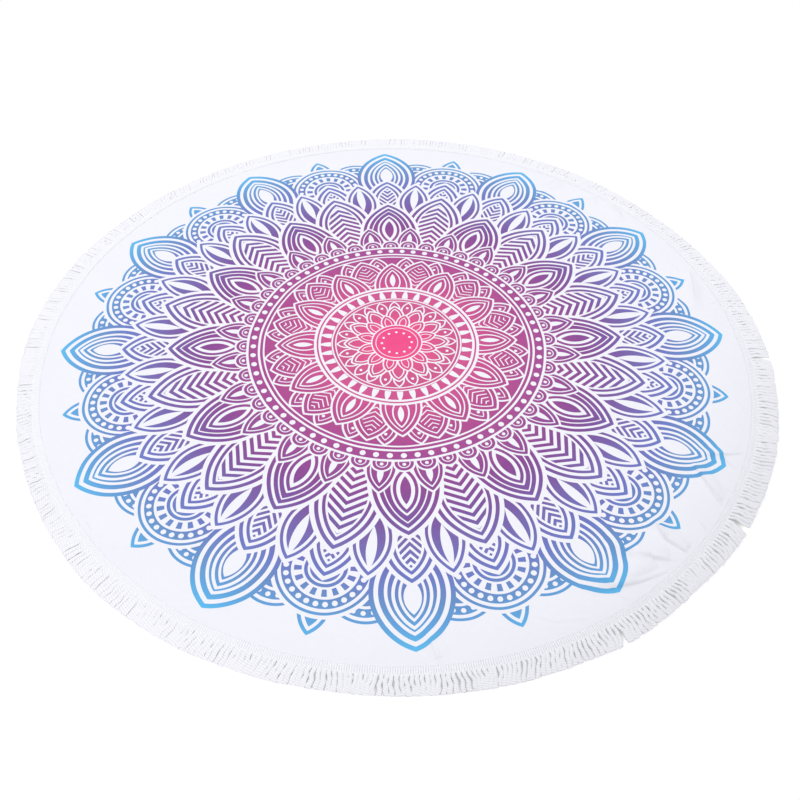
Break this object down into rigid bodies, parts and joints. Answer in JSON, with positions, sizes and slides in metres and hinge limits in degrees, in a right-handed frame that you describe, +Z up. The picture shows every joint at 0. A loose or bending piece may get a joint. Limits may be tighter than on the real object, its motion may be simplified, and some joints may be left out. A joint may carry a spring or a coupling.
{
  "type": "round beach towel",
  "caption": "Round beach towel laid out flat: thin printed cloth disc with low folds and a cord fringe sewn round its rim.",
  "frame": {"origin": "middle of the towel on the surface it lies on", "axes": "+Z up off that surface, +Y away from the viewer and +X to the right as pictured"},
  "size_m": [1.5074, 1.4955, 0.0109],
  "materials": {
    "printed_cloth": "matt smooth towelling, white with a radial print from pink through purple to blue, white underneath",
    "cotton_fringe": "matt white twisted cotton"
  },
  "bodies": {
    "root": {"towel_cloth": "printed_cloth", "fringe_trim": "cotton_fringe"}
  },
  "joints": []
}
